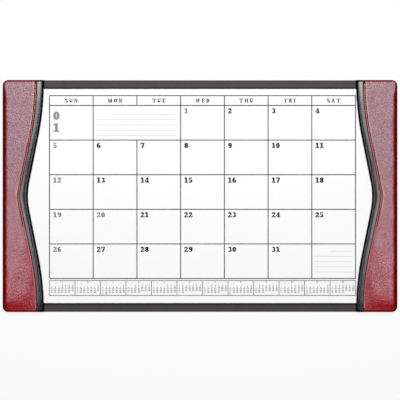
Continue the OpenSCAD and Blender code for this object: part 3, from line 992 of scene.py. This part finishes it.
def wrap_section():
    """Closed section of the wrap, as distances inwards from the outline and heights."""
    turn = np.linspace(0, np.pi / 2, BEND_STEPS)
    bend = [(WRAP_BEND_R * (1 - math.sin(t)), WRAP_LOW + WRAP_BEND_R * (1 - math.cos(t))) for t in turn]
    top = [(WRAP_CREASE * (1 - math.cos(t)), WRAP_CREASE * (math.sin(t) - 1)) for t in turn]
    inside = [(WRAP_IN, -WRAP_DROP), (WRAP_IN, WRAP_LOW + WRAP_BEND_R),
              (WRAP_BEND_R, WRAP_LOW + WRAP_IN), (TURN_IN, WRAP_LOW + WRAP_IN)]
    return [(TURN_IN, WRAP_LOW)] + bend + top + inside


def wrap_path():
    """Places and outward directions along the outline, from the front end round to the rear end."""
    arc = np.linspace(np.pi * 1.5, np.pi, ARC_STEPS)
    centre = np.array([CORNER_R, CORNER_R - HALF_D])
    front = [((WRAP_REACH, -HALF_D), (0, -1))]
    front += [(centre + CORNER_R * np.array([math.cos(t), math.sin(t)]), (math.cos(t), math.sin(t)))
              for t in arc]
    return front + [((u, -v), (a, -b)) for (u, v), (a, b) in front[::-1]]


section = wrap_section()
wrap_points = np.array([[(u - inward * a, v - inward * b, h) for inward, h in section]
                        for (u, v), (a, b) in wrap_path()])
for side in SIDES:
    piece = rail_piece(f"{side}_edge_leather", side, wrap_points, loft_faces(*wrap_points.shape[:2]),
                       burgundy_leather, "base")
    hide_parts(f"{side}_edge_wrap")
print("edge wraps:", wrap_points.shape[:2], "points each")

# %% [markdown]
# ## Numerals
# The dates are set in heavy slab numerals: thick sides, thin tops and flat feet. Blender's own font
# is a light sans, so the ten numerals are drawn here from two strokes: a bow, which is part of an
# elliptical ring, and a slab, which is a straight-sided patch. Upright slabs are bars, and a stem, a
# foot and a head are bars of the usual height.

# %% Strokes and numerals
THICK, THIN, SERIF = 0.33, 0.20, 0.13
BOW_STEP = 24


def bow(x, y, rx, ry, start=0, end=360):
    """Part of an elliptical ring that is thick at its sides and thin at its top and foot."""
    turns = np.radians(np.linspace(start, end, 1 + math.ceil((end - start) / BOW_STEP)))
    ring = np.column_stack([np.cos(turns), np.sin(turns)])
    n = len(turns)
    points = np.vstack([ring * (rx, ry), ring * (rx - THICK, ry - THIN)]) + (x, y)
    return points, [(n + k, k, k + 1, n + k + 1) for k in range(n - 1)]


def slab(*corners):
    return np.array(corners), [tuple(range(len(corners)))]


def bar(x0, y0, x1, y1):
    return slab((x0, y0), (x1, y0), (x1, y1), (x0, y1))


def stem(x0, x1):
    return bar(x0, 0, x1, 1)


def foot(x0, x1):
    return bar(x0, 0, x1, SERIF)


def head(x0, x1):
    return bar(x0, 1 - SERIF, x1, 1)


NUMERAL_W = 0.76
NUMERALS = {
    "0": [bow(0.37, 0.5, 0.37, 0.5)],
    "1": [stem(0.22, 0.54), bar(0.02, 0, 0.22, 0.16), bar(0.54, 0, 0.74, 0.16),
          slab((0.02, 0.7), (0.22, 0.78), (0.22, 1), (0.02, 0.87))],
    "2": [bow(0.35, 0.7, 0.35, 0.3, -40, 190), slab((0, 0.18), (0.32, 0.18), (0.63, 0.51), (0.4, 0.58)),
          bar(0, 0, 0.74, 0.18), bar(0.6, 0.18, 0.74, 0.32)],
    "3": [bow(0.35, 0.74, 0.34, 0.26, -90, 165), bow(0.36, 0.28, 0.37, 0.28, -165, 90)],
    "4": [stem(0.38, 0.66), slab((0, 0.34), (0.18, 0.34), (0.38, 0.7), (0.38, 1)),
          bar(0, 0.18, 0.38, 0.34), bar(0.66, 0.18, 0.78, 0.34), bar(0.26, 0, 0.38, 0.14),
          bar(0.66, 0, 0.78, 0.14)],
    "5": [bar(0.08, 0.79, 0.66, 1), bar(0.08, 0.53, 0.22, 0.79), bow(0.35, 0.32, 0.38, 0.32, -165, 135)],
    "6": [bow(0.37, 0.31, 0.37, 0.31), bow(0.43, 0.5, 0.43, 0.5, 62, 190)],
    "7": [bar(0, 0.8, 0.74, 1), bar(0, 0.62, 0.15, 0.8),
          slab((0.14, 0), (0.46, 0), (0.74, 0.8), (0.46, 0.8))],
    "8": [bow(0.38, 0.73, 0.36, 0.27), bow(0.38, 0.28, 0.38, 0.28)],
}
NUMERALS["9"] = [((NUMERAL_W, 1) - points, faces) for points, faces in NUMERALS["6"]]
print("numerals:", " ".join(sorted(NUMERALS)))

# %% [markdown]
# The letters over the columns are capitals of the same kind, drawn from the same strokes.

# %% Letters
WEEKDAYS = ("SUN", "MON", "TUE", "WED", "THU", "FRI", "SAT")
LETTERS = {
    "A": [slab((0.1, 0), (0.24, 0), (0.56, 1), (0.4, 1)), slab((0.64, 0), (0.9, 0), (0.6, 1), (0.38, 1)),
          bar(0.28, 0.25, 0.68, 0.38), foot(0, 0.34), foot(0.54, 1)],
    "D": [stem(0.12, 0.38), bow(0.36, 0.5, 0.48, 0.5, -90, 90), foot(0, 0.38),
          head(0, 0.38)],
    "E": [stem(0.12, 0.38), bar(0, 0, 0.8, 0.14), bar(0, 0.86, 0.78, 1), bar(0.38, 0.44, 0.6, 0.57),
          bar(0.66, 0.68, 0.78, 0.86), bar(0.68, 0.14, 0.8, 0.32)],
    "F": [stem(0.12, 0.38), foot(0, 0.5), bar(0, 0.86, 0.78, 1), bar(0.38, 0.43, 0.6, 0.56),
          bar(0.66, 0.66, 0.78, 0.86)],
    "H": [stem(0.1, 0.34), stem(0.64, 0.88), bar(0.34, 0.43, 0.64, 0.57), foot(0, 0.44),
          head(0, 0.44), foot(0.54, 0.98), head(0.54, 0.98)],
    "I": [stem(0.12, 0.38), foot(0, 0.5), head(0, 0.5)],
    "M": [stem(0.1, 0.24), stem(0.84, 1.08), slab((0.46, 0), (0.64, 0), (0.36, 1), (0.1, 1)),
          slab((0.46, 0), (0.64, 0), (1, 1), (0.84, 1)), foot(0, 0.34), foot(0.74, 1.18)],
    "N": [stem(0.1, 0.24), stem(0.7, 0.84), slab((0.62, 0), (0.84, 0), (0.34, 1), (0.06, 1)),
          foot(0, 0.34), head(0.58, 0.94), head(0, 0.3)],
    "O": [bow(0.46, 0.5, 0.46, 0.5)],
    "R": [stem(0.12, 0.38), bow(0.42, 0.73, 0.38, 0.27, -90, 90), head(0, 0.42),
          bar(0.38, 0.46, 0.44, 0.59), slab((0.64, 0), (0.92, 0), (0.6, 0.5), (0.38, 0.5)),
          foot(0, 0.48)],
    "S": [bow(0.39, 0.73, 0.37, 0.27, 25, 270), bow(0.39, 0.28, 0.39, 0.28, -160, 90)],
    "T": [stem(0.36, 0.62), bar(0, 0.86, 0.98, 1), bar(0, 0.64, 0.13, 0.86),
          bar(0.85, 0.64, 0.98, 0.86), foot(0.22, 0.76)],
    "U": [bar(0.08, 0.36, 0.32, 1), bar(0.62, 0.36, 0.78, 1), bow(0.43, 0.37, 0.35, 0.37, 180, 360),
          head(0, 0.42), head(0.52, 0.9)],
    "W": [slab((0.24, 0), (0.42, 0), (0.3, 1), (0.06, 1)), slab((0.32, 0), (0.42, 0), (0.64, 1), (0.54, 1)),
          slab((0.7, 0), (0.88, 0), (0.78, 1), (0.54, 1)), slab((0.78, 0), (0.88, 0), (1.12, 1), (1, 1)),
          head(0, 0.38), head(0.92, 1.2)],
}
GLYPHS = {sign: (strokes, NUMERAL_W) for sign, strokes in NUMERALS.items()}
GLYPHS |= {sign: (strokes, max(points[:, 0].max() for points, faces in strokes))
           for sign, strokes in LETTERS.items()}
print("letters:", " ".join(LETTERS))

# %% [markdown]
# Each sign is drawn once, one unit tall. Setting a line of print is then a matter of scaling the
# signs, moving them into place and handing on their strokes.

# %% Setting print
SIGN_GAP = 0.06


def text_width(text, height, gap):
    return height * (sum(GLYPHS[sign][1] for sign in text) + gap * (len(text) - 1))


def stamp(text, x, y, height, gap=SIGN_GAP):
    """Strokes of a text whose left foot is at x and y."""
    marks = []
    for sign in text:
        strokes, width = GLYPHS[sign]
        marks += [(points * height + (x, y), faces) for points, faces in strokes]
        x += height * (width + gap)
    return marks


def stamp_middle(text, x, y, height, gap=SIGN_GAP):
    return stamp(text, x - text_width(text, height, gap) / 2, y, height, gap)


print("two figures are", round(text_width("28", 1, SIGN_GAP), 2), "times as wide as they are high")

# %% [markdown]
# ## Month sheets
# Each sheet has a ruled table of five weeks under a row of weekday letters, and a strip of twelve small
# months at its foot. The year is a plain one of 365 days that starts on a Wednesday. Blank cells
# before the first day and after the last one become one field with writing lines. All of it is worked
# out from the first weekday and the number of days, so the twelve sheets share one function.

# %% Layout of a sheet
MONTH_DAYS = (31, 28, 31, 30, 31, 30, 31, 31, 30, 31, 30, 31)
YEAR_START = 3
WEEKS = 5
TABLE_LEFT, TABLE_RIGHT = -329.9 * MM, 340.9 * MM
TABLE_TOP, HEAD_LINE, TABLE_FOOT = 220.0 * MM, 198.6 * MM, -180.9 * MM
STRIP_TOP, STRIP_FOOT = -185.4 * MM, -217.9 * MM
RULE_W, STRIP_RULE_W, LINE_W = 2.1 * MM, 1.4 * MM, 0.9 * MM
CELL_W = (TABLE_RIGHT - TABLE_LEFT) / 7
CELL_D = (HEAD_LINE - TABLE_FOOT) / WEEKS
MONTH_STARTS = [(YEAR_START + sum(MONTH_DAYS[:k])) % 7 for k in range(12)]
BLACK, RULE, GREY, PALE = range(4)


def column_x(column):
    return TABLE_LEFT + column * CELL_W


def week_y(week):
    return HEAD_LINE - week * CELL_D


def writing_fields(first, days):
    """Blank fields of a month: week, first column and the column after its last."""
    last = first + days
    fields = [(0, 1, first)] if first > 1 else []
    if last < 7 * WEEKS:
        fields.append((WEEKS - 1, last - 7 * (WEEKS - 1) + (first == 0), 7))
    return fields


def table_rules(fields):
    """Lines of the table. Uprights run between the cross lines, and not through a blank field."""
    half = RULE_W / 2
    levels = [TABLE_TOP] + [week_y(week) for week in range(WEEKS + 1)]
    marks = [bar(TABLE_LEFT - half, y - half, TABLE_RIGHT + half, y + half) for y in levels]
    for row, (above, below) in enumerate(zip(levels, levels[1:])):
        for column in range(8):
            inside = any(week == row - 1 and start < column < end for week, start, end in fields)
            if not inside:
                x = column_x(column)
                marks.append(bar(x - half, below + half, x + half, above - half))
    return marks


print("months start on weekdays", MONTH_STARTS)

# %% [markdown]
# A printer sets a sheet in four inks, so the strokes are kept in one list for each ink. Sundays and
# holidays are grey, and so is the number of the month. Dates of a sixth week go into the lower half of
# the fifth, as on a printed calendar. The strip at the foot is the same on all sheets, so it is worked
# out once.

# %% Print of a sheet
DATE_H = 11.6 * MM
DATE_LEFT, DATE_TOP = 7.8 * MM, 6.0 * MM
HEADING_H, HEADING_GAP = 8.6 * MM, 0.34
MONTH_H, MONTH_STEP = 19 * MM, 26 * MM
MONTH_LEFT, MONTH_TOP = 8 * MM, 13 * MM
LINE_TOPS = {0: 19.7 * MM, WEEKS - 1: 15.5 * MM}
LINE_STEP, LINE_MARGIN, LINE_INDENT = 11.5 * MM, 7.5 * MM, 32.5 * MM
LINES = 5
SMALL_H, INITIAL_H, SMALL_STEP = 2.7 * MM, 1.89 * MM, 7.6 * MM
SMALL_HEAD, SMALL_TOP, SMALL_ROW = 1.2 * MM, 5.2 * MM, 3.78 * MM
HOLIDAYS = {(1, 1), (1, 20)}


def dates(first, days):
    """Day, week and column of each day, with weeks counted from 0."""
    for day in range(1, days + 1):
        week, column = divmod(first + day - 1, 7)
        yield day, week, column


def month_print(month):
    """Strokes of one sheet, in a list for each ink."""
    first, days = MONTH_STARTS[month - 1], MONTH_DAYS[month - 1]
    fields = writing_fields(first, days)
    marks = [[] for ink in inks]
    marks[RULE] += table_rules(fields)
    heading_y = (TABLE_TOP + HEAD_LINE - HEADING_H) / 2
    for column, word in enumerate(WEEKDAYS):
        marks[BLACK] += stamp_middle(word, column_x(column + 0.5), heading_y, HEADING_H, HEADING_GAP)
    for day, week, column in dates(first, days):
        spill = CELL_D / 2 if week == WEEKS else 0
        y = week_y(min(week, WEEKS - 1)) - DATE_TOP - DATE_H - spill
        ink = GREY if column == 0 or (month, day) in HOLIDAYS else BLACK
        marks[ink] += stamp(str(day), column_x(column) + DATE_LEFT, y, DATE_H)
    week, column = (0, 0) if first else (WEEKS - 1, days - 7 * (WEEKS - 1))
    for k, sign in enumerate(f"{month:02d}"):
        y = week_y(week) - MONTH_TOP - MONTH_H - k * MONTH_STEP
        marks[GREY] += stamp(sign, column_x(column) + MONTH_LEFT, y, MONTH_H)
    for week, start, end in fields:
        for k in range(LINES):
            x = column_x(start) + (LINE_MARGIN if k else LINE_MARGIN + LINE_INDENT)
            y = week_y(week) - LINE_TOPS[week] - k * LINE_STEP
            marks[PALE].append(bar(x, y - LINE_W / 2, column_x(end) - LINE_MARGIN, y + LINE_W / 2))
    return marks


def year_strip():
    """Strokes of the strip of twelve small months."""
    small_w = (TABLE_RIGHT - TABLE_LEFT) / 12
    half = STRIP_RULE_W / 2
    marks = [[] for ink in inks]
    marks[RULE] += [bar(TABLE_LEFT - half, y - half, TABLE_RIGHT + half, y + half)
                    for y in (STRIP_TOP, STRIP_FOOT)]
    marks[RULE] += [bar(x - half, STRIP_FOOT + half, x + half, STRIP_TOP - half)
                    for x in (TABLE_LEFT + k * small_w for k in range(13))]
    for month, (first, days) in enumerate(zip(MONTH_STARTS, MONTH_DAYS)):
        middle = TABLE_LEFT + (month + 0.5) * small_w
        marks[BLACK] += stamp_middle(str(month + 1), middle, STRIP_TOP - SMALL_HEAD - SMALL_H, SMALL_H)
        for column, word in enumerate(WEEKDAYS):
            x = middle + (column - 3) * SMALL_STEP
            marks[GREY] += stamp_middle(word[0], x, STRIP_TOP - SMALL_TOP - INITIAL_H, INITIAL_H)
        for day, week, column in dates(first, days):
            x = middle + (column - 3) * SMALL_STEP
            y = STRIP_TOP - SMALL_TOP - SMALL_H - (week + 1) * SMALL_ROW
            marks[BLACK if column else GREY] += stamp_middle(str(day), x, y, SMALL_H)
    return marks


print("strokes on the first sheet:", [len(marks) for marks in month_print(1)])

# %% [markdown]
# The print could be painted by a shader, but dates are easier to draw as thin patches of mesh. They
# lie a hundredth of a millimetre above their sheet, under the air that is between two sheets, and
# move with it.

# %% Print on the sheets
INK_LIFT = 0.012 * MM


def print_sheet(month, strip):
    """Makes the print of one sheet as one piece with four inks, and lays it on the sheet."""
    points, faces, ink_numbers = [], [], []
    for ink, marks in enumerate(month_print(month)):
        for patch, patch_faces in marks + strip[ink]:
            start = len(points)
            points += patch.tolist()
            faces += [tuple(start + corner for corner in face) for face in patch_faces]
            ink_numbers += [ink] * len(patch_faces)
    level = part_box(f"month_sheet_{month:02d}")[1].z + INK_LIFT
    mesh = bpy.data.meshes.new(f"month_print_{month:02d}")
    mesh.from_pydata([(x, y, level) for x, y in points], [], faces)
    for ink in inks:
        mesh.materials.append(ink)
    mesh.polygons.foreach_set("material_index", ink_numbers)
    piece = put(mesh.name, mesh)
    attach(piece, f"sheet_{month:02d}")
    return len(points)


strip_marks = year_strip()
print("points of print:", sum(print_sheet(month, strip_marks) for month in MONTHS))
